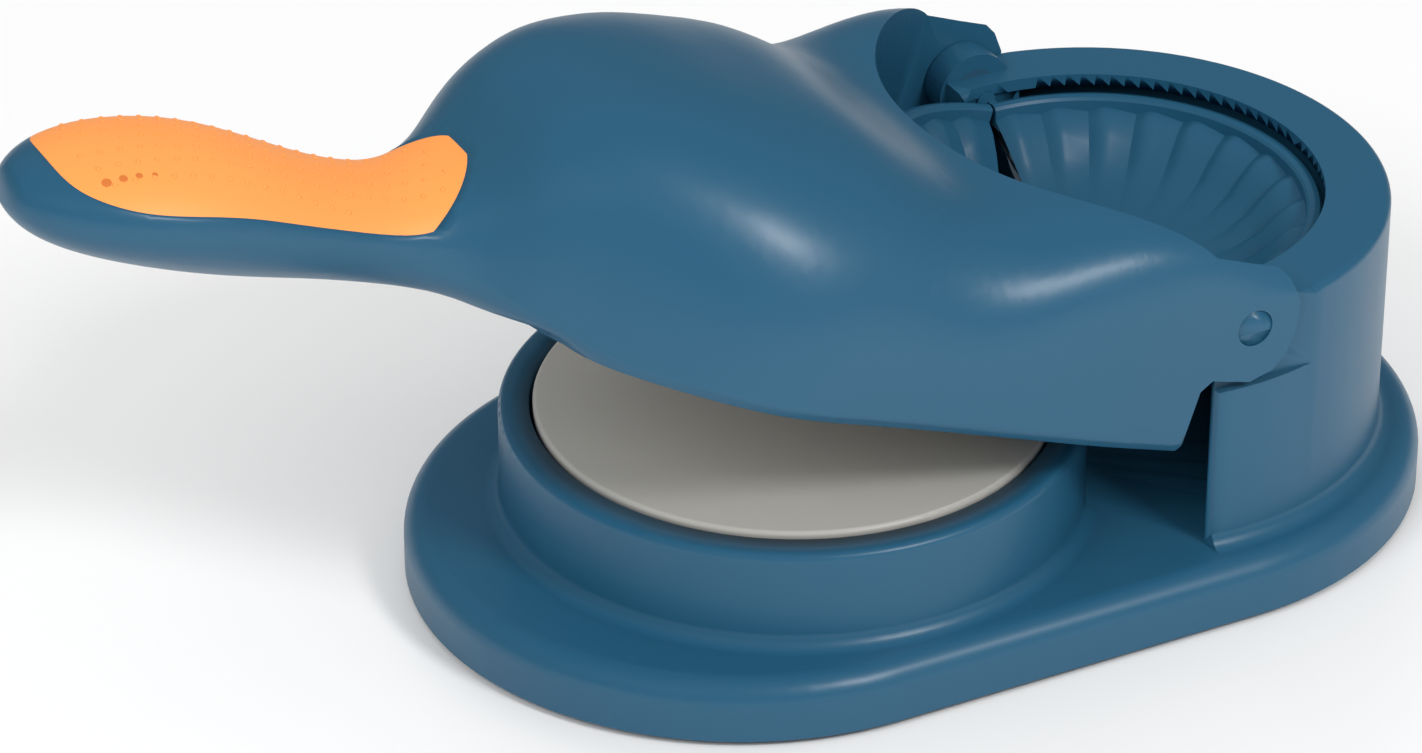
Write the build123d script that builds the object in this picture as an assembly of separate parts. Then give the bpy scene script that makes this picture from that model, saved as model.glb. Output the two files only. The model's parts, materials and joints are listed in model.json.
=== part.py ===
from build123d import *
import math
import os

# Hand dumpling maker: an oblong base with a round cup and a hollow tower, and a
# press arm that swings on two pins at the tower. The arm flattens dough on the
# plate in the cup; a mould half on the arm folds it against one in the tower.
# Lengths in millimetres, +Z up, handle towards -X, the hinge axis along Y.

os.makedirs("parts", exist_ok=True)

# base
BASE_R = 68.0
BASE_SPAN = 82.0
BASE_H = 14.0
BEAD_R = 5.2
FOOT_FILLET = 3.2
WALL = 2.6
FEET_GAP = 1.5

# cup and dough plate
CUP_X = -70.0
CUP_R = 59.4
CUP_H = 35.0
CUP_IN_R = 53.2
CUP_FLOOR = 26.0
PLATE_R = 52.4
PLATE_TOP = 36.0
PLATE_T = 2.4
PLATE_SKIRT = 2.2

# tower
TOWER_R = 59.2
TOWER_H = 66.9
TOWER_FRONT_X = -6.8
OPEN_R = 45.9
WELL_R = 41.0
SHELF_R = 43.2
EAR_LEDGE_Z = 49.8
EAR_POCKET_Y = 57.1

# hinge
HINGE_Z = 63.5
PIN_R = 3.0
PIN_FIT = 0.05
LUG_R = 8.4
LUG_IN_Y = 50.5
BUSH_R = 5.0
TRUNNION_R = 2.0
TRUNNION_Y = 49.4
SOCKET_Y = 46.6
PIN_HEAD_R = 3.9

# arm, drawn closed with the hinge axis as its origin
ARM_REST = 19.0
ARM_WALL = 2.6
ARM_REAR_X = -7.6
ARM_BOTTOM = -28.3
PART_Z = -23.0
SEAM_GAP = 0.06
CUT_X = 13.0
CUT_R = 63.0
CUT_HALF_Y = 57.5

# mould halves
MOULD_R = 45.2
RING_IN_R = 42.2
RING_H = 2.7
FLANGE_Z = -2.8
FLANGE_T = 2.0
BOWL_R = 38.0
BOWL_DEEP = 15.5
MOULD_WALL = 1.6
SPLIT_GAP = 0.4
FLUTES = 13
FLUTE_H = 1.5

# press disc
DISC_R = 50.5
DISC_FACE = -27.0
DISC_T = 2.2

# screws
SCREW_R = 1.3
SCREW_HEAD_R = 2.6
SCREW_HEAD_T = 1.6


def cyl(r, z0, z1, x=0.0, y=0.0):
    return Pos(x, y, (z0 + z1) / 2) * Cylinder(r, abs(z1 - z0))


def block(x0, x1, y0, y1, z0, z1):
    centre = Pos((x0 + x1) / 2, (y0 + y1) / 2, (z0 + z1) / 2)
    return centre * Box(x1 - x0, y1 - y0, z1 - z0)


def tube(r_out, r_in, z0, z1, x=0.0, y=0.0):
    return cyl(r_out, z0, z1, x, y) - cyl(r_in, z0 - 1, z1 + 1, x, y)


def y_rod(r, y0, y1, x=0.0, z=0.0):
    bar = Rotation(90, 0, 0) * Cylinder(r, abs(y1 - y0))
    return Pos(x, (y0 + y1) / 2, z) * bar


def oblong(r, z0, z1):
    plan = block(-BASE_SPAN, 0, -r, r, z0, z1)
    return plan + cyl(r, z0, z1) + cyl(r, z0, z1, -BASE_SPAN)


def screw(x, y, z_head, z_tip, down=False):
    way = -1 if down else 1
    head = cyl(SCREW_HEAD_R, z_head, z_head + way * SCREW_HEAD_T, x, y)
    slot = block(x - 1.8, x + 1.8, y - 0.35, y + 0.35, -0.5, 0.5)
    cross = block(x - 0.35, x + 0.35, y - 1.8, y + 1.8, -0.5, 0.5)
    mark = Pos(0, 0, z_head) * (slot + cross)
    return head + cyl(SCREW_R, z_head, z_tip, x, y) - mark


# The base: outside form first, then everything that is taken out of it.

def base_outside():
    body = oblong(BASE_R, FEET_GAP, BASE_H)
    body += cyl(CUP_R, FEET_GAP, CUP_H, CUP_X)
    body += cyl(TOWER_R, FEET_GAP, TOWER_H) & block(TOWER_FRONT_X, 80, -80, 80, 0, 90)
    step = [e for e in body.edges().filter_by(GeomType.CIRCLE)
            if abs(e.center().Z - BASE_H) < 0.01 and e.radius < BASE_R - 1]
    body = fillet(step, FOOT_FILLET)
    rim = [e for e in body.edges()
           if e.bounding_box().max.Z < BASE_H + 0.01
           and e.bounding_box().min.Z > BASE_H - 0.01
           and abs(abs(e.position_at(0.5).Y) - BASE_R) < 0.5
           or (e.geom_type == GeomType.CIRCLE and abs(e.radius - BASE_R) < 0.01
               and abs(e.center().Z - BASE_H) < 0.01)]
    body = fillet(rim, BEAD_R)
    tops = [e for e in body.edges().filter_by(GeomType.CIRCLE)
            if abs(e.center().Z - CUP_H) < 0.01 or abs(e.center().Z - TOWER_H) < 0.01]
    return fillet(tops, 1.6)


def base_hollow():
    wall_of_well = cyl(WELL_R + WALL, BASE_H - WALL, 90)
    cup = cyl(CUP_R - WALL, 0, CUP_FLOOR - WALL, CUP_X) - wall_of_well
    stand = cyl(CUP_IN_R + 2.0 - WALL, 0, CUP_FLOOR - WALL, CUP_X)
    return oblong(BASE_R - WALL, 0, BASE_H - WALL) + cup + stand


def lug(side):
    y0, y1 = sorted((side * LUG_IN_Y, side * EAR_POCKET_Y))
    s0, s1 = sorted((side * SOCKET_Y, side * EAR_POCKET_Y))
    body = y_rod(LUG_R, y0, y1, 0, HINGE_Z)
    body += block(TOWER_FRONT_X, LUG_R, y0, y1, EAR_LEDGE_Z + 2, HINGE_Z)
    body += block(TOWER_FRONT_X, LUG_R, s0, s1, HINGE_Z - 6, TOWER_H)
    return body


def make_base():
    body = base_outside() - base_hollow()
    body -= cyl(CUP_IN_R, CUP_FLOOR, CUP_H + 5, CUP_X)
    body -= cyl(WELL_R, BASE_H, 90) - cyl(CUP_IN_R + 2.0, BASE_H - 1, 90, CUP_X)
    stand_edge = tube(CUP_R + 1, CUP_IN_R - 1, CUP_FLOOR, CUP_H + 1, CUP_X)
    body -= stand_edge & cyl(WELL_R, CUP_FLOOR, 90)
    body -= cyl(TOWER_R - WALL, BASE_H, TOWER_H - WALL) & block(
        TOWER_FRONT_X - 1, 80, -80, 80, 0, 90)
    shelf = tube(TOWER_R - 1, SHELF_R, HINGE_Z - 7.0, HINGE_Z + FLANGE_Z - FLANGE_T - 0.05)
    body += shelf & block(5, 80, -80, 80, 0, 90)
    body -= cyl(OPEN_R, HINGE_Z + FLANGE_Z - FLANGE_T - 0.05, 90)
    for side in (-1, 1):
        y0, y1 = sorted((side * EAR_POCKET_Y, side * 70))
        body += lug(side)
        body -= block(TOWER_FRONT_X - 3, 17, y0, y1, EAR_LEDGE_Z, 90)
        body -= y_rod(BUSH_R, side * (LUG_IN_Y - 0.01), side * 60, 0, HINGE_Z)
        body -= y_rod(TRUNNION_R + PIN_FIT, side * 40, side * LUG_IN_Y, 0, HINGE_Z)
    for x, y in COVER_SCREWS:
        roof = BASE_H if x > CUP_X / 2 else CUP_FLOOR
        body += cyl(3.4, FEET_GAP + WALL, roof - WALL + 0.5, x, y)
        body -= cyl(SCREW_R, FEET_GAP, BASE_H - WALL - 1, x, y)
    return body


COVER_SCREWS = [(CUP_X - 40, 26), (CUP_X - 40, -26), (38, 32), (38, -32)]
FOOT_SPOTS = [(CUP_X - 44, 40), (CUP_X - 44, -40), (30, 48), (30, -48)]


def make_bottom_cover():
    r = BASE_R - WALL - 0.2
    plate = oblong(r, FEET_GAP, FEET_GAP + WALL)
    for x, y in COVER_SCREWS:
        plate -= cyl(SCREW_HEAD_R + 0.3, FEET_GAP - 1, FEET_GAP + SCREW_HEAD_T + 0.1, x, y)
        plate -= cyl(SCREW_R + 0.15, 0, 10, x, y)
    for x, y in FOOT_SPOTS:
        plate -= cyl(6.0, FEET_GAP - 1, FEET_GAP + 1.0, x, y)
    return plate


def make_cover_screws():
    return [screw(x, y, FEET_GAP + 0.1, BASE_H - WALL - 1.5) for x, y in COVER_SCREWS]


def make_feet():
    return [cyl(5.9, 0, FEET_GAP + 0.95, x, y) for x, y in FOOT_SPOTS]


def make_plate():
    top = cyl(PLATE_R, PLATE_TOP - PLATE_T, PLATE_TOP, CUP_X)
    rim = [e for e in top.edges().filter_by(GeomType.CIRCLE)
           if e.center().Z > PLATE_TOP - 0.01]
    top = fillet(rim, 0.9)
    skirt = tube(PLATE_R - 0.8, PLATE_R - 0.8 - PLATE_SKIRT,
                 CUP_FLOOR, PLATE_TOP - PLATE_T + 0.01, CUP_X)
    hub = tube(12, 10, CUP_FLOOR, PLATE_TOP - PLATE_T + 0.01, CUP_X)
    return top + skirt + hub


# The arm: a loft through closed sections. Each is set by a half width, a top, a
# bottom, the height of its widest line, and how square it is above and below it.

STATIONS = [
    # x, half width, top, bottom, widest, squareness above, squareness below
    (14.0, 60.3, 15.0, -28.3, -25.0, 10.0, 3.4),
    (-4.0, 60.3, 16.4, -28.3, -25.0, 10.0, 3.4),
    (-15.0, 60.3, 17.8, -28.3, -25.0, 9.0, 3.4),
    (-27.0, 60.2, 17.6, -28.3, -25.0, 7.5, 3.4),
    (-40.0, 59.4, 14.6, -28.3, -25.0, 5.8, 3.4),
    (-53.0, 58.5, 12.0, -28.3, -25.0, 4.2, 3.4),
    (-66.0, 57.7, 15.2, -28.3, -25.0, 3.1, 3.4),
    (-80.0, 57.2, 19.4, -28.3, -25.0, 2.8, 3.4),
    (-94.0, 56.3, 20.4, -28.3, -25.0, 2.75, 3.4),
    (-106.0, 52.6, 20.6, -28.3, -25.0, 2.8, 3.4),
    (-116.0, 47.2, 20.0, -28.3, -25.0, 2.9, 3.4),
    (-126.0, 40.2, 18.4, -28.3, -25.0, 3.1, 3.2),
    (-135.0, 33.2, 15.0, -28.4, -23.5, 3.2, 3.0),
    (-143.0, 27.0, 9.0, -28.5, -21.0, 3.0, 2.8),
    (-152.0, 19.0, -3.0, -28.6, -18.5, 2.6, 2.6),
    (-161.0, 15.9, -8.0, -28.8, -17.5, 2.2, 2.4),
    (-170.0, 15.6, -8.8, -29.0, -17.5, 2.1, 2.2),
    (-180.0, 16.8, -7.8, -29.0, -17.5, 2.1, 2.1),
    (-192.0, 18.8, -5.6, -29.0, -17.0, 2.1, 2.1),
    (-205.0, 20.4, -4.2, -28.8, -16.0, 2.1, 2.1),
    (-218.0, 20.0, -5.2, -28.0, -16.0, 2.1, 2.1),
    (-229.0, 16.6, -7.8, -26.8, -16.8, 2.1, 2.1),
    (-237.0, 10.8, -11.4, -24.4, -17.6, 2.1, 2.1),
    (-241.0, 4.8, -14.6, -20.8, -17.7, 2.1, 2.1),
]
SECTION_POINTS = 40
# Under the dome the loft runs deeper than the arm, and a level cut makes its flat underside.
CUT_UNTIL_X = -130.0
LOFT_BOTTOM = -36.0
LOFT_BELOW = 2.4
# The hollow inside the arm stops short of its tip.
INNER_UNTIL_X = -238.0


def section(x, w, top, bottom, mid, above, below, inset=0.0):
    w, top, bottom = w - inset, top - inset, bottom + inset
    ring = []
    for k in range(SECTION_POINTS):
        a = 2 * math.pi * k / SECTION_POINTS
        c, s = math.cos(a), math.sin(a)
        n = above if s >= 0 else below
        r = (abs(c) ** n + abs(s) ** n) ** (-1 / n)
        rise = top - mid if s >= 0 else mid - bottom
        ring.append(Vector(x, w * r * c, mid + rise * r * s))
    even = [k / SECTION_POINTS for k in range(SECTION_POINTS + 1)]
    edge = Edge.make_spline(ring, periodic=True, parameters=even)
    return make_face(edge)


def arm_form(inset=0.0):
    rows = []
    for x, w, top, bottom, mid, above, below in STATIONS:
        if x > CUT_UNTIL_X:
            bottom, below = LOFT_BOTTOM, LOFT_BELOW
        if x > INNER_UNTIL_X or not inset:
            rows.append((x, w, top, bottom, mid, above, below))
    form = loft([section(*row, inset) for row in rows])
    half = STATIONS[0][1] - inset
    return form & block(-300, 20, -half, half, ARM_BOTTOM + inset, 60)


# Side outline of the arm round the hinge: rounded ear, notch, upright rear edge.
EAR = [(ARM_REAR_X, ARM_BOTTOM - 5), (ARM_REAR_X, -14.6), (-5.6, -12.0),
       (3.2, -11.6), (7.6, -8.6), (9.6, -4.6), (9.9, 1.0), (8.5, 6.8), (5.3, 10.7),
       (1.0, 13.2), (-3.0, 14.2), (-4.0, 40.0), (-300.0, 40.0),
       (-300.0, ARM_BOTTOM - 5)]


def side_cutter():
    flat = make_face(Polyline(*[Vector(x, -70, z) for x, z in EAR], close=True))
    return extrude(flat, amount=140, dir=(0, 1, 0))


def arm_outer():
    return arm_form() & side_cutter()


def arm_cut_out():
    return cyl(CUT_R, PART_Z, 60, CUT_X) & block(
        -80, 80, -CUT_HALF_Y, CUT_HALF_Y, -60, 60)


# Side line of the grip's seam, from its tip to where it turns up at the neck.
GRIP_SEAM = [(-237.2, -6.0), (-234.6, -11.3), (-229.5, -12.5), (-221.0, -12.6),
             (-209.0, -11.8), (-198.0, -12.0), (-188.0, -13.1), (-177.0, -14.2),
             (-167.0, -14.6), (-160.0, -13.4), (-154.5, -9.6), (-150.5, -3.0)]
GRIP_DEPTH = 1.5
GRIP_END_R = 16.6
GRIP_END_X = -150.0


def grip_column():
    seam = Spline(*[Vector(x, -30, z) for x, z in GRIP_SEAM])
    up = [Vector(GRIP_SEAM[-1][0], -30, 40), Vector(GRIP_SEAM[0][0], -30, 40)]
    edge = [seam, Line(seam @ 1, up[0]), Line(up[0], up[1]), Line(up[1], seam @ 0)]
    side = extrude(make_face(edge), amount=60, dir=(0, 1, 0))
    centre = GRIP_END_X - GRIP_END_R
    plan = block(-260, centre, -30, 30, -40, 50) + cyl(GRIP_END_R, -40, 50, centre)
    return side & plan


LID_INSET = 3.0
LID_GAP = 0.08
LID_T = 2.5
LID_NOSE = [(-134.0, 27.0), (-138.5, 15.0), (-140.0, 0.0)]


def lid_column(gap, z0, z1):
    half = [(x, w - LID_INSET - gap) for x, w, *rest in STATIONS if -130 < x < -10]
    half = [(ARM_REAR_X + 1.0, half[0][1])] + half
    nose = [(x + gap, y) for x, y in LID_NOSE]
    right = half + nose
    left = [(x, -y) for x, y in reversed(right[:-1])]
    side = Spline(*[Vector(x, y, z0) for x, y in right + left])
    plan = make_face([side, Line(side @ 1, side @ 0)])
    return extrude(plan, amount=z1 - z0, dir=(0, 0, 1))


DISC_SCREWS = [(CUP_X - 34, 0), (CUP_X + 17, 29.4), (CUP_X + 17, -29.4)]
CARRIER_SCREWS = [(-29.0, 25.0), (-29.0, -25.0)]
# x, y and the top of the post that the screw goes into
UNDER_SCREWS = [(-118.0, 28.0, 12.6), (-118.0, -28.0, 12.6),
                (-35.0, 47.5, 2.0), (-35.0, -47.5, 2.0)]
INNER_WALL_T = 2.4


def make_arm_shell(outer, groove):
    inner = arm_form(ARM_WALL)
    hollow = inner - cyl(CUT_R + INNER_WALL_T, -60, 60, CUT_X)
    shell = outer - hollow - arm_cut_out()
    shell -= lid_column(0.0, -60, PART_Z)
    shell -= groove
    for side in (-1, 1):
        shell -= y_rod(PIN_HEAD_R, side * 55, side * 62)
    for x, y, post_top in UNDER_SCREWS:
        shell += cyl(3.2, PART_Z + SEAM_GAP, post_top, x, y)
        shell -= cyl(SCREW_R, -40, PART_Z + 4.0, x, y)
    return biggest(shell)


def make_under_cover():
    rear = block(-300, ARM_REAR_X, -80, 80, -60, 60)
    cover = lid_column(LID_GAP, ARM_BOTTOM, ARM_BOTTOM + LID_T)
    full = lid_column(LID_GAP + 0.1, ARM_BOTTOM + LID_T - 0.3, PART_Z)
    cover += full & cyl(PLATE_R + 3.0, -60, 60, CUP_X)
    for x, y, post_top in UNDER_SCREWS:
        cover += cyl(4.2, ARM_BOTTOM + LID_T - 0.3, PART_Z, x, y)
    cover -= cyl(PLATE_R + 0.8, -40, DISC_FACE + DISC_T, CUP_X)
    for x, y in DISC_SCREWS:
        cover += cyl(3.2, DISC_FACE + DISC_T + 0.8, PART_Z + 2.2, x, y)
        cover -= cyl(SCREW_R, -40, PART_Z + 0.8, x, y)
    for x, y in CARRIER_SCREWS:
        cover -= cyl(SCREW_R, DISC_FACE + DISC_T + 0.4, 0, x, y)
    for x, y, post_top in UNDER_SCREWS:
        cover -= cyl(SCREW_HEAD_R + 0.3, -40, ARM_BOTTOM + SCREW_HEAD_T + 0.2, x, y)
        cover -= cyl(SCREW_R + 0.15, -40, 0, x, y)
    return biggest(cover & rear)


def biggest(shape):
    return max(shape.solids(), key=lambda piece: piece.volume)


def make_under_screws():
    head = ARM_BOTTOM + 0.1
    return [screw(x, y, head, PART_Z + 3.6) for x, y, post_top in UNDER_SCREWS]


def make_press_disc():
    disc = cyl(DISC_R, DISC_FACE, DISC_FACE + DISC_T, CUP_X)
    low = [e for e in disc.edges().filter_by(GeomType.CIRCLE)
           if e.center().Z < DISC_FACE + 0.01]
    disc = fillet(low, 0.8)
    for x, y in DISC_SCREWS:
        disc -= cyl(SCREW_HEAD_R, -40, DISC_FACE + SCREW_HEAD_T + 0.1, x, y)
        disc -= cyl(SCREW_R, -40, 0, x, y)
    return disc


def make_disc_screws():
    return [screw(x, y, DISC_FACE + 0.1, PART_Z + 0.6) for x, y in DISC_SCREWS]


def make_carrier():
    front = block(-60, ARM_REAR_X - 0.4, -60, 60, -60, 60)
    wall = tube(BOWL_R + 5.4, BOWL_R + 3.2, PART_Z, FLANGE_Z - FLANGE_T - 0.02)
    foot = tube(BOWL_R + 5.4, BOWL_R - 6.0, PART_Z, PART_Z + 1.6)
    body = (wall + foot) & front
    for x, y in CARRIER_SCREWS:
        body -= cyl(SCREW_R + 0.1, -40, 0, x, y)
    return body


def make_carrier_screws():
    top = PART_Z + 1.6 + SCREW_HEAD_T
    tip = DISC_FACE + DISC_T + 0.5
    return [screw(x, y, top, tip, True) for x, y in CARRIER_SCREWS]


# One mould half, drawn on the +X side of the split with its rim at the axis.

def mould_half():
    side = block(SPLIT_GAP / 2, 60, -60, 60, -60, 60)
    cup = [(BOWL_R, 0.0), (BOWL_R - 3.0, -6.4), (BOWL_R - 12.0, -12.4),
           (BOWL_R - 24.0, -BOWL_DEEP + 0.4), (0.0, -BOWL_DEEP)]
    out = [(r + (MOULD_WALL if r else 0), z - MOULD_WALL) for r, z in cup]
    shapes = []
    for rows in (cup, out):
        line = Spline(*[Vector(r, 0, FLANGE_Z + z) for r, z in rows])
        start = Vector(rows[0][0], 0, FLANGE_Z + 0.5)
        top = Vector(0, 0, FLANGE_Z + 0.5)
        edge = [Line(top, start), Line(start, line @ 0), line, Line(line @ 1, top)]
        shapes.append(revolve(make_face(edge), Axis.Z, 360))
    flange = cyl(MOULD_R, FLANGE_Z - FLANGE_T, FLANGE_Z)
    rim = tube(MOULD_R, RING_IN_R, FLANGE_Z - 0.5, FLANGE_Z + RING_H)
    body = flange + rim + (shapes[1] & cyl(60, -60, FLANGE_Z - 0.1)) - shapes[0]
    long = RING_IN_R - BOWL_R + 0.8
    bar = Rotation(45, 0, 0) * Box(long, FLUTE_H * 1.414, FLUTE_H * 1.414)
    for k in range(FLUTES):
        turn = -90 + 180 * (k + 0.5) / FLUTES
        spot = Pos(BOWL_R + long / 2, 0, FLANGE_Z)
        body += Rotation(0, 0, turn) * (spot * bar)
    return body & side


def make_rear_mould():
    body = mould_half()
    for side in (-1, 1):
        y0, y1 = sorted((side * 43.0, side * 46.3))
        body += block(SPLIT_GAP / 2, 2.0, y0, y1, -2.6, FLANGE_Z + RING_H)
        body += y_rod(TRUNNION_R, side * 45.6, side * TRUNNION_Y)
    return body


def make_bush(side):
    sleeve = y_rod(BUSH_R, side * LUG_IN_Y, side * (EAR_POCKET_Y - 0.05))
    return sleeve - y_rod(PIN_R + PIN_FIT, side * 40, side * 60)


def make_pin(side):
    ear_in = CUT_HALF_Y + 0.05
    head = y_rod(PIN_HEAD_R, side * ear_in, side * 60.0)
    return head + y_rod(PIN_R, side * (LUG_IN_Y + 0.3), side * (ear_in + 0.1))


# Everything is drawn about the hinge in X; the arm pieces are then raised to the
# angle the arm stands at, and the whole is centred over its own box.

arm_place = Pos(0, 0, HINGE_Z) * Rotation(0, ARM_REST, 0)
flat_place = Pos(0, 0, HINGE_Z)

arm_solid = arm_outer()
groove = grip_column() - arm_form(GRIP_DEPTH)
nodes = {
    "base_shell": make_base(),
    "bottom_cover": make_bottom_cover(),
    "bottom_cover_screws": make_cover_screws(),
    "rubber_feet": make_feet(),
    "dough_plate": make_plate(),
    "hinge_bush_near": flat_place * make_bush(-1),
    "hinge_bush_far": flat_place * make_bush(1),
    "rear_mould_half": flat_place * make_rear_mould(),
    "arm_shell": arm_place * make_arm_shell(arm_solid, groove),
    "arm_under_cover": arm_place * make_under_cover(),
    "arm_cover_screws": [arm_place * one for one in make_under_screws()],
    "grip_inlay": arm_place * biggest(arm_solid & groove),
    "press_disc": arm_place * make_press_disc(),
    "press_disc_screws": [arm_place * one for one in make_disc_screws()],
    "mould_carrier": arm_place * make_carrier(),
    "carrier_screws": [arm_place * one for one in make_carrier_screws()],
    "front_mould_half": arm_place * (Rotation(0, 0, 180) * mould_half()),
    "hinge_pin_near": arm_place * make_pin(-1),
    "hinge_pin_far": arm_place * make_pin(1),
}

tip = min(corner.X for corner in nodes["arm_shell"].tessellate(0.2)[0])
SHIFT_X = -(tip + BASE_R) / 2

for name, made in nodes.items():
    pieces = made if isinstance(made, list) else [made]
    moved = [Pos(SHIFT_X, 0, 0) * piece for piece in pieces]
    out = moved[0] if len(moved) == 1 else Compound(children=moved)
    out.label = name
    export_step(out, "parts/" + name + ".step")

print("shift in X:", round(SHIFT_X, 3))
print("hinge at x, z:", round(SHIFT_X, 3), HINGE_Z)
print("box in X:", round(tip + SHIFT_X, 2), round(BASE_R + SHIFT_X, 2))
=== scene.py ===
# %% [markdown]
# # A hand dumpling maker
# An oblong base carries a round cup with a pale dough plate and a taller hollow
# tower. A domed arm with a slim handle swings on two pins at the tower. The solid
# model is loaded first and fixes every size and place; this scene gives its pieces
# their edges, finishes, fine detail and light.

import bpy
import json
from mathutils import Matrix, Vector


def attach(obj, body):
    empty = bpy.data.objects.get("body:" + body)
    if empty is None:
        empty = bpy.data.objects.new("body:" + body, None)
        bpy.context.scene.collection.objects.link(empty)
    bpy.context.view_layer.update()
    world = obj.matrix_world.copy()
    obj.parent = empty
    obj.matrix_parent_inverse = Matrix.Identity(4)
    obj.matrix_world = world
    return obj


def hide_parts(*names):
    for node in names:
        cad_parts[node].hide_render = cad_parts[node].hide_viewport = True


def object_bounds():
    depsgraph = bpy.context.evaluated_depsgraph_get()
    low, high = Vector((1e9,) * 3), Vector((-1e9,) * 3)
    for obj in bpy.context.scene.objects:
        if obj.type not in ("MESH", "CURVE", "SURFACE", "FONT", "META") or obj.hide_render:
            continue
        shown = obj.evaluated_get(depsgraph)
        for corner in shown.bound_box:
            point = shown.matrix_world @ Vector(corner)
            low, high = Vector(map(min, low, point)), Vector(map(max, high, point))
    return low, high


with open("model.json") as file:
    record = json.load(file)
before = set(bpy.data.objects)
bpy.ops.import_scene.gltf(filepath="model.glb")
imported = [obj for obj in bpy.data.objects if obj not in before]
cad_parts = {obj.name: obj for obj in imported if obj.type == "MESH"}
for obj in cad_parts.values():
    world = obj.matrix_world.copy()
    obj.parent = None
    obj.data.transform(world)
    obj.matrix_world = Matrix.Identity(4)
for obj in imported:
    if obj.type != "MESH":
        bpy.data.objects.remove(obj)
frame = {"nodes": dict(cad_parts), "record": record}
CAD_BOX = [list(corner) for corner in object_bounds()]

import json
import math

import bmesh
import bpy
from mathutils import Matrix, Vector
from mathutils.bvhtree import BVHTree

print("pieces in the solid model:", len(frame["nodes"]))

# %% [markdown]
# ## Where the hinge is
# The arm and the far mould half both turn about one line across the tower. All that
# rides on the arm was raised by the same angle about that line, so a rule for a point
# of the closed arm gives its place on the raised one.

# %% Find the hinge line and the arm's own axes
MM = 0.001
JOINTS = {joint["name"]: joint for joint in frame["record"]["behaviour"]["joints"]}
HINGE = Vector(JOINTS["arm_hinge"]["pos_m"])
ARM_UP = math.radians(19.0)
ARM_TURN = Matrix.Translation(HINGE) @ Matrix.Rotation(ARM_UP, 4, "Y")


def on_arm(x, y, z):
    """A point given in mm from the hinge, with the arm closed, placed on the raised arm."""
    return ARM_TURN @ Vector((x * MM, y * MM, z * MM))


print("hinge at", tuple(round(v, 4) for v in HINGE))

# %% [markdown]
# ## Moulded plastic
# Injection-moulded plastic has a satin skin: one even colour, a soft highlight, and a
# very fine grain left by the tool. A noise far finer than the piece bends the surface
# by hundredths of a millimetre, and a broad, weak noise keeps the gloss from being
# perfectly even. Both read object coordinates, so they stay fixed to the piece.

# %% Helper that builds a moulded finish


def moulded(name, colour, roughness, grain_size=0.35, grain_depth=0.012, gloss=0.4, unevenness=0.05):
    """A plastic or rubber finish. grain_size and grain_depth are in millimetres."""
    finish = bpy.data.materials.new(name)
    finish.use_nodes = True
    nodes, links = finish.node_tree.nodes, finish.node_tree.links
    shader = nodes["Principled BSDF"]
    shader.inputs["Base Color"].default_value = (*colour, 1.0)
    shader.inputs["Specular IOR Level"].default_value = gloss
    where = nodes.new("ShaderNodeTexCoord")

    grain = nodes.new("ShaderNodeTexNoise")
    grain.inputs["Scale"].default_value = 1.0 / (grain_size * MM)
    grain.inputs["Detail"].default_value = 2.0
    links.new(where.outputs["Object"], grain.inputs["Vector"])
    bump = nodes.new("ShaderNodeBump")
    bump.inputs["Distance"].default_value = grain_depth * MM
    bump.inputs["Strength"].default_value = 0.6
    links.new(grain.outputs["Fac"], bump.inputs["Height"])
    links.new(bump.outputs["Normal"], shader.inputs["Normal"])

    cloud = nodes.new("ShaderNodeTexNoise")
    cloud.inputs["Scale"].default_value = 28.0
    cloud.inputs["Detail"].default_value = 3.0
    links.new(where.outputs["Object"], cloud.inputs["Vector"])
    spread = nodes.new("ShaderNodeMapRange")
    spread.inputs["To Min"].default_value = roughness - unevenness
    spread.inputs["To Max"].default_value = roughness + unevenness
    links.new(cloud.outputs["Fac"], spread.inputs["Value"])
    links.new(spread.outputs["Result"], shader.inputs["Roughness"])
    return finish


# %% [markdown]
# ## The colours
# The shell is a deep satin teal blue. The plate and the press disc are warm white, darkened
# to grey as painted shade for the arm's shadow on them. The grip is a soft apricot orange,
# its four small dimples darker orange as painted shade in their hollows, and the hidden
# fixings are plain steel and black rubber.

# %% Make the finishes
BLUE = moulded("satin blue shell", (0.016, 0.092, 0.168), 0.36)
BLUE_INSIDE = moulded("matt blue inside", (0.02, 0.08, 0.14), 0.5, grain_size=0.5)
# The plate and the press disc are white. This grey is painted shade for the shadow the arm casts on
# them.
PAINTED_SHADE_CREAM = moulded("warm white plate darkened as painted shade", (0.42, 0.41, 0.38), 0.4, grain_size=0.5)
ORANGE = moulded("orange grip rubber", (0.95, 0.33, 0.075), 0.52, grain_size=0.25, grain_depth=0.02)
# The grip's dimples are hollows. This darker orange is painted shade for them.
ORANGE_PAINTED_DIMPLE_SHADE = moulded("orange with painted dimple shade", (0.62, 0.17, 0.03), 0.55)
BLACK = moulded("black foot rubber", (0.02, 0.02, 0.02), 0.7)
STEEL = moulded("plated screw steel", (0.55, 0.56, 0.58), 0.3)
STEEL.node_tree.nodes["Principled BSDF"].inputs["Metallic"].default_value = 1.0
print("finishes:", len(bpy.data.materials))

# %% [markdown]
# ## Dressing a solid
# The solid model's pieces come as loose triangles with flat shading. A copy of the mesh
# is merged at its shared corners, then shaded smooth with a break only at real edges, so
# that the long curved skins catch one unbroken highlight.

# Weighted normals keep the flat faces flat beside a small round edge. The long curved skins
# have no flat faces and many thin triangles, so they keep their plain normals.

# %% Helper that turns a solid into a smooth piece
CURVED_ALL_OVER = {"arm_shell", "grip_inlay", "hinge_pin_near", "hinge_pin_far"}
MERGE_WITHIN = 0.01


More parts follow.
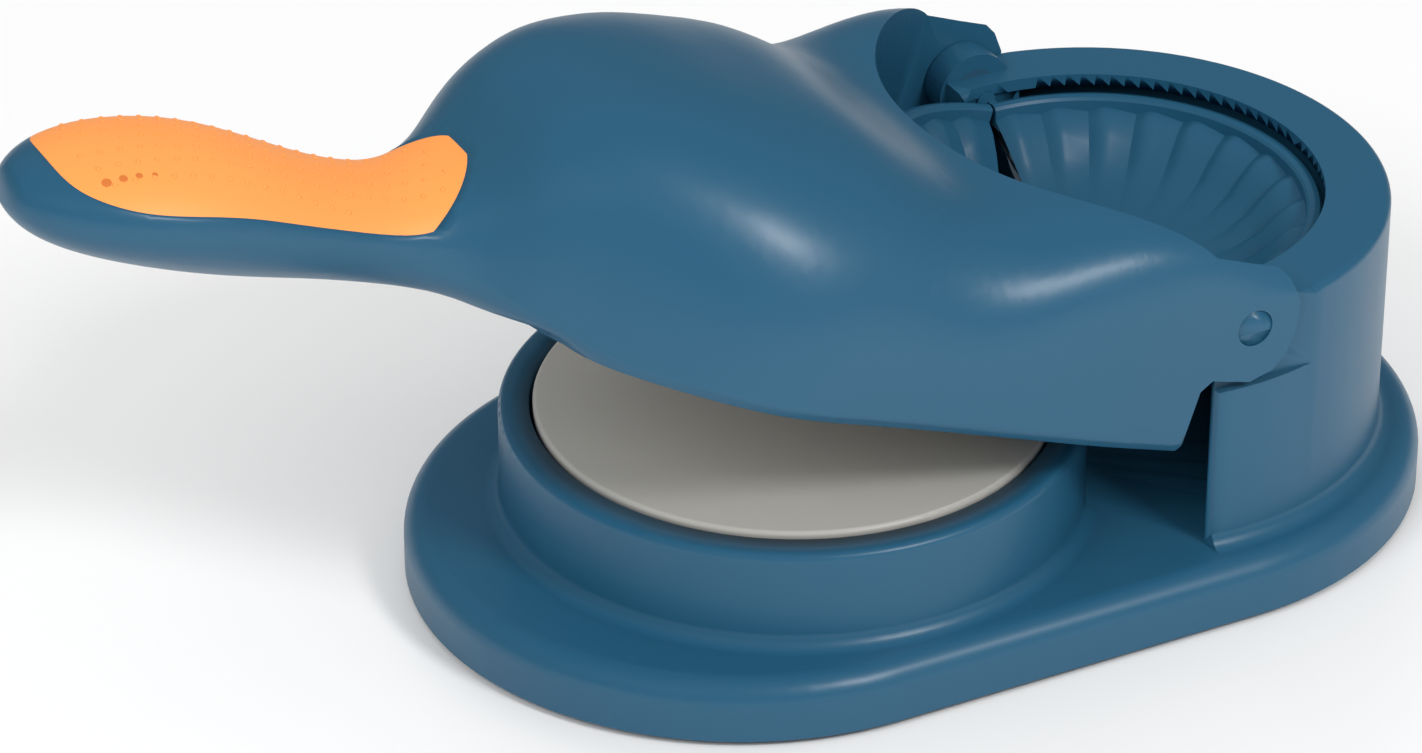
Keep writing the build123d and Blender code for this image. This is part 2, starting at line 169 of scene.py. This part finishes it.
def dressed(node, body, finish, edge_angle=28.0):
    """A smooth copy of one solid that stands in for it."""
    piece = frame["nodes"][node].copy()
    piece.data = frame["nodes"][node].data.copy()
    piece.name = node + "_skin"
    bpy.context.scene.collection.objects.link(piece)
    piece.parent = None
    piece.matrix_world = Matrix.Identity(4)
    shape = bmesh.new()
    shape.from_mesh(piece.data)
    bmesh.ops.remove_doubles(shape, verts=shape.verts, dist=MERGE_WITHIN * MM)
    shape.to_mesh(piece.data)
    shape.free()
    piece.data.materials.clear()
    piece.data.materials.append(finish)
    piece.data.shade_smooth()
    piece.data.set_sharp_from_angle(angle=math.radians(edge_angle))
    if node not in CURVED_ALL_OVER:
        even = piece.modifiers.new("even shading", "WEIGHTED_NORMAL")
        even.keep_sharp = True
    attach(piece, body)
    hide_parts(node)
    return piece


# %% [markdown]
# ## The base and what stands on it
# The base shell, its cover, feet, screws, the dough plate and the two bushes stay still.

# %% Dress the still pieces
BASE_PIECES = [
    ("base_shell", BLUE, "blue_shell"),
    ("bottom_cover", BLUE_INSIDE, "blue_inner"),
    ("bottom_cover_screws", STEEL, "steel"),
    ("rubber_feet", BLACK, "black_rubber"),
    ("dough_plate", PAINTED_SHADE_CREAM, "cream_plastic"),
    ("hinge_bush_near", BLUE_INSIDE, "acetal"),
    ("hinge_bush_far", BLUE_INSIDE, "acetal"),
]
for node, finish, slot in BASE_PIECES:
    dressed(node, "base", finish)
print("still pieces:", len(BASE_PIECES))

# %% [markdown]
# ## The press arm
# The arm's shell, its under cover with the press disc and the grip move as one body.

# %% Dress the arm
ARM_PIECES = [
    ("arm_shell", BLUE, "blue_shell"),
    ("arm_under_cover", BLUE, "blue_inner"),
    ("arm_cover_screws", STEEL, "steel"),
    ("grip_inlay", ORANGE, "orange_grip"),
    ("press_disc", PAINTED_SHADE_CREAM, "cream_plastic"),
    ("press_disc_screws", STEEL, "steel"),
    ("mould_carrier", BLUE_INSIDE, "blue_inner"),
    ("carrier_screws", STEEL, "steel"),
    ("hinge_pin_near", BLUE, "blue_shell"),
    ("hinge_pin_far", BLUE, "blue_shell"),
]
arm_skins = {node: dressed(node, "press_arm", finish) for node, finish, slot in ARM_PIECES}
print("arm pieces:", len(arm_skins))

# %% [markdown]
# ## The two mould halves
# Each half is a half ring with a round bead, a pleated collar and a half bowl. Turning one
# closed profile half way round makes the plain form. The pleats that crimp the dough are
# then pressed in by lowering each point of the collar by a saw-tooth wave round the ring.
# Spinning is better than a grid here, because the steps can be set to fall on the pleats.

# %% Helper that makes an object from a finished bmesh


def new_piece(name, shape, body, finish):
    """The object made from a finished bmesh, riding on its body."""
    mesh = bpy.data.meshes.new(name)
    shape.to_mesh(mesh)
    shape.free()
    mesh.materials.append(finish)
    mesh.shade_smooth()
    piece = bpy.data.objects.new(name, mesh)
    bpy.context.scene.collection.objects.link(piece)
    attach(piece, body)
    return piece


# %% Set the mould's profile and its pleats
# Radius and height in mm from the hinge, from the bead down the bowl and back up outside.
MOULD_LINE = [
    (42.6, -0.35), (42.1, -0.9), (42.0, -3.0), (39.5, -4.2), (36.4, -7.0), (33.4, -10.4),
    (28.5, -14.0), (22.0, -16.4), (14.0, -17.8), (0.0, -18.2),
    (0.0, -19.8), (14.6, -19.3), (23.0, -17.9), (30.0, -15.4), (35.4, -11.4), (38.2, -8.0),
    (39.5, -4.85), (45.15, -4.85), (45.15, -0.9), (44.7, -0.35), (43.7, -0.1),
]
INNER_POINTS = 10
BOWL_FLOOR = MOULD_LINE[INNER_POINTS - 1][1]
PLEATS, STEPS_PER_PLEAT = 13, 8
PLEAT_DEEP = 2.6 * 0.8
PLEAT_OUT, PLEAT_IN = 42.05, 30.0
PLEAT_STARTS = 2.0
FADE_IN, FADE_OUT, LEFT_AT_RIM = 4.0, 1.5, 0.55
SKIN_SLACK = 0.3
TOOTH_RISE, TOOTH_MIDDLE = 0.7, 0.35
SPLIT = 0.25
print("pleats in a half:", PLEATS)

# %% Helpers that lower and raise the collar by a saw tooth


def saw(turn):
    """A tooth that rises slowly and falls fast, from 0 to 1, once per pleat."""
    part = (turn * PLEATS) % 1.0
    return part / TOOTH_RISE if part < TOOTH_RISE else (1.0 - part) / (1.0 - TOOTH_RISE)


def inside_height(radius):
    """Height of the inner skin at a radius, along the profile."""
    inner = sorted(MOULD_LINE[:INNER_POINTS])
    for (r0, z0), (r1, z1) in zip(inner, inner[1:]):
        if r0 <= radius <= r1:
            return z0 + (z1 - z0) * (radius - r0) / max(r1 - r0, 1e-6)
    return 0.0


def pleat_rise(x, y):
    """How far the tooth at this place lifts the skin, fading out towards the bowl and the rim."""
    radius = math.hypot(x, y)
    turn = (math.atan2(y, x) + math.pi / 2) / math.pi
    from_bowl = min(1.0, max(0.0, (radius - PLEAT_IN) / FADE_IN))
    from_rim = min(1.0, (PLEAT_OUT - radius) / FADE_OUT + LEFT_AT_RIM)
    return PLEAT_DEEP * from_bowl * from_rim * (saw(turn) - TOOTH_MIDDLE)


def mould_form():
    """Half a mould in mm about the hinge, on the +X side of its split."""
    form = bmesh.new()
    verts = [form.verts.new((0.0, -r, z)) for r, z in MOULD_LINE]
    edges = [form.edges.new(pair) for pair in zip(verts, verts[1:] + verts[:1])]
    bmesh.ops.spin(
        form, geom=verts + edges, cent=(0, 0, 0), axis=(0, 0, 1), angle=math.pi,
        steps=PLEATS * STEPS_PER_PLEAT)
    bmesh.ops.remove_doubles(form, verts=form.verts, dist=0.001)
    for vert in form.verts:
        radius = math.hypot(vert.co.x, vert.co.y)
        on_collar = PLEAT_IN - PLEAT_STARTS < radius < PLEAT_OUT
        inner = on_collar and vert.co.z > inside_height(radius) - SKIN_SLACK
        if inner and vert.co.z > BOWL_FLOOR:
            vert.co.z += pleat_rise(vert.co.x, vert.co.y)
    loose_ends = [edge for edge in form.edges if edge.is_boundary]
    bmesh.ops.holes_fill(form, edges=loose_ends)
    bmesh.ops.recalc_face_normals(form, faces=form.faces)
    bmesh.ops.translate(form, verts=form.verts, vec=(SPLIT, 0, 0))
    return form


# %% Add the rear half with its two small trunnions
TRUNNION_R, TRUNNION_FROM, TRUNNION_TO = 2.0, 45.6, 49.4
TAB_SIZE, TAB_X, TAB_Y, TAB_Z = (1.7, 3.0, 2.4), 1.1, 44.7, -1.4
MOULD_EDGE_ANGLE = math.radians(24)
rear = mould_form()
for side in (-1, 1):
    middle = side * (TRUNNION_FROM + TRUNNION_TO) / 2
    lay = Matrix.Translation((0, middle, 0)) @ Matrix.Rotation(math.pi / 2, 4, "X")
    bmesh.ops.create_cone(
        rear, cap_ends=True, segments=32, radius1=TRUNNION_R, radius2=TRUNNION_R,
        depth=TRUNNION_TO - TRUNNION_FROM, matrix=lay)
    tab = Matrix.Translation((TAB_X, side * TAB_Y, TAB_Z)) @ Matrix.Diagonal((*TAB_SIZE, 1))
    bmesh.ops.create_cube(rear, size=1.0, matrix=tab)
bmesh.ops.transform(rear, matrix=Matrix.Translation(HINGE) @ Matrix.Scale(MM, 4), verts=rear.verts)
rear_skin = new_piece("rear_mould_half_skin", rear, "rear_mould", BLUE)
rear_skin.data.set_sharp_from_angle(angle=MOULD_EDGE_ANGLE)
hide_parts("rear_mould_half")
print("faces in the rear half:", len(rear_skin.data.polygons))

# %% Add the front half, turned about and raised with the arm
front = mould_form()
half_turn = Matrix.Rotation(math.pi, 4, "Z")
bmesh.ops.transform(front, matrix=ARM_TURN @ Matrix.Scale(MM, 4) @ half_turn, verts=front.verts)
front_skin = new_piece("front_mould_half_skin", front, "press_arm", BLUE)
front_skin.data.set_sharp_from_angle(angle=MOULD_EDGE_ANGLE)
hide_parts("front_mould_half")
print("faces in the front half:", len(front_skin.data.polygons))

# %% [markdown]
# ## Dots on the grip
# A grip like this is covered with rows of tiny raised dots so that it doesn't slip. Each dot
# is a flattened half ball set on the rubber where a line straight down through the arm
# meets it, so the rows follow the grip's curve.

# %% Set rows of dots on the rubber
DOT_R, DOT_HIGH = 0.5, 0.24
ROW_STEP, DOT_STEP = 4.3, 3.8
GRIP_FROM, GRIP_TO, GRIP_HALF = -236.0, -147.0, 17.0
EDGE_KEEP = 2.2
ABOVE_ARM = 60.0


def surface_tree(obj):
    """A search tree over one piece's faces, for finding where a line meets it."""
    shape = bmesh.new()
    shape.from_mesh(obj.data)
    tree = BVHTree.FromBMesh(shape)
    shape.free()
    return tree


grip_tree = surface_tree(arm_skins["grip_inlay"])
arm_down = (on_arm(0, 0, -1) - on_arm(0, 0, 0)).normalized()


def on_grip(x, y):
    """The place and normal on the grip below a point of the arm's plan, or None off its edge."""
    place, normal, _, _ = grip_tree.ray_cast(on_arm(x, y, ABOVE_ARM), arm_down)
    return (place, normal) if place is not None else None


def well_inside(x, y):
    """True if the grip reaches EDGE_KEEP further on every side, and a dot stays in the box."""
    around = [(EDGE_KEEP, 0), (-EDGE_KEEP, 0), (0, EDGE_KEEP), (0, -EDGE_KEEP)]
    low_enough = on_grip(x, y)[0].z < CAD_BOX[1][2] - DOT_HIGH * MM
    return low_enough and all(on_grip(x + dx, y + dy) for dx, dy in around)


def set_on_grip(shape, x, y, radius, high, subdivisions=1):
    """A flattened ball on the rubber at a point of the arm's plan."""
    place, normal = on_grip(x, y)
    tilt = normal.to_track_quat("Z", "Y").to_matrix().to_4x4()
    flat = Matrix.Diagonal((1, 1, high / radius, 1))
    bmesh.ops.create_icosphere(
        shape, subdivisions=subdivisions, radius=radius * MM,
        matrix=Matrix.Translation(place) @ tilt @ flat)


dots = bmesh.new()
dot_count = 0
row_count = int(GRIP_HALF / ROW_STEP)
for row in range(-row_count, row_count + 1):
    for k in range(int((GRIP_TO - GRIP_FROM) / DOT_STEP)):
        x = GRIP_FROM + (k + 0.5 * (row % 2)) * DOT_STEP
        if on_grip(x, row * ROW_STEP) and well_inside(x, row * ROW_STEP):
            set_on_grip(dots, x, row * ROW_STEP, DOT_R, DOT_HIGH, subdivisions=2)
            dot_count += 1
new_piece("grip_dots", dots, "press_arm", ORANGE)
print("dots on the grip:", dot_count)

# %% Paint shade into the four round dimples near the tip, each smaller than the last, as flat raised discs of darker orange
SPOTS = [(-227.8, -12.1, 0.95), (-224.7, -12.1, 0.82), (-221.7, -12.1, 0.68), (-218.7, -12.3, 0.55)]
SPOT_HIGH = 0.1
spots = bmesh.new()
for x, y, radius in SPOTS:
    set_on_grip(spots, x, y, radius, SPOT_HIGH, subdivisions=3)
new_piece("grip_dimples_painted_shade", spots, "press_arm", ORANGE_PAINTED_DIMPLE_SHADE)
print("round spots:", len(SPOTS))

# %% [markdown]
# ## Floor, light and camera
# A pale floor and three soft lamps give the satin shell its highlights. The sky lights
# the piece evenly but is dimmed in reflections, so that the blue stays deep. The
# camera stands where the photograph was taken from: the angles and the distance come from
# fitting the round parts of the base to their ellipses in the picture.

# %% Lay the floor
FLOOR_SIZE = 6.0
bpy.ops.mesh.primitive_plane_add(size=FLOOR_SIZE)
floor = bpy.context.object
floor.name = "floor"
paper = moulded("white paper floor", (0.86, 0.86, 0.86), 0.8, grain_size=2.0)
floor.data.materials.append(paper)
print("floor side in m:", FLOOR_SIZE)

# %% Hang the lamps
TARGET = Vector((-0.01, 0.0, 0.05))


def soft_lamp(name, place, size, power, mirrored=True):
    """An area lamp that points at the object; mirrored says if the gloss shows it."""
    light = bpy.data.lights.new(name, "AREA")
    light.shape = "RECTANGLE"
    light.size, light.size_y = size
    light.energy = power
    lamp = bpy.data.objects.new(name, light)
    lamp.location = place
    lamp.visible_glossy = mirrored
    lamp.rotation_euler = (TARGET - Vector(place)).to_track_quat("-Z", "Y").to_euler()
    bpy.context.scene.collection.objects.link(lamp)
    return lamp


soft_lamp("key from the front right", (0.35, -1.0, 0.95), (0.3, 0.3), 9)
soft_lamp("fill over the handle", (-0.95, -0.6, 1.0), (0.8, 0.6), 8, mirrored=False)
soft_lamp("rim behind", (0.2, 1.1, 0.9), (1.2, 0.5), 5, mirrored=False)
print("lamps:", len(bpy.data.lights))

# %% Light the sky
SKY_STRENGTH, SKY_IN_GLOSS = 0.6, 0.12
sky = bpy.data.worlds.new("studio sky")
sky.use_nodes = True
sky_light = sky.node_tree.nodes["Background"]
sky_light.inputs["Color"].default_value = (1, 1, 1, 1)
ray = sky.node_tree.nodes.new("ShaderNodeLightPath")
dimmed = sky.node_tree.nodes.new("ShaderNodeMapRange")
dimmed.inputs["To Min"].default_value = SKY_STRENGTH
dimmed.inputs["To Max"].default_value = SKY_IN_GLOSS
sky.node_tree.links.new(ray.outputs["Is Glossy Ray"], dimmed.inputs["Value"])
sky.node_tree.links.new(dimmed.outputs["Result"], sky_light.inputs["Strength"])
bpy.context.scene.world = sky
print("sky strength:", SKY_STRENGTH, "and in reflections:", SKY_IN_GLOSS)

# %% Set the camera
CAMERA_FROM_HINGE = Vector((-560.8, -908.6, 657.6)) * MM
LOOK_ROUND, LOOK_DOWN = math.radians(-27.46), math.radians(30.89)
LENS = 151.9
lens = bpy.data.cameras.new("photo camera")
lens.lens = LENS
lens.sensor_width = 36.0
lens.clip_start, lens.clip_end = 0.05, 20.0
camera = bpy.data.objects.new("photo camera", lens)
camera.location = Vector((HINGE.x, 0, 0)) + CAMERA_FROM_HINGE
camera.rotation_euler = (math.pi / 2 - LOOK_DOWN, 0, LOOK_ROUND)
bpy.context.scene.collection.objects.link(camera)
bpy.context.scene.camera = camera
bpy.context.scene.view_settings.view_transform = "Standard"
print("camera at", tuple(round(v, 3) for v in camera.location))

# %% [markdown]
# ## The size
# The dressed object has to keep to the solid model's box.

# %% Print the solid model's box
print("solid box ", CAD_BOX)
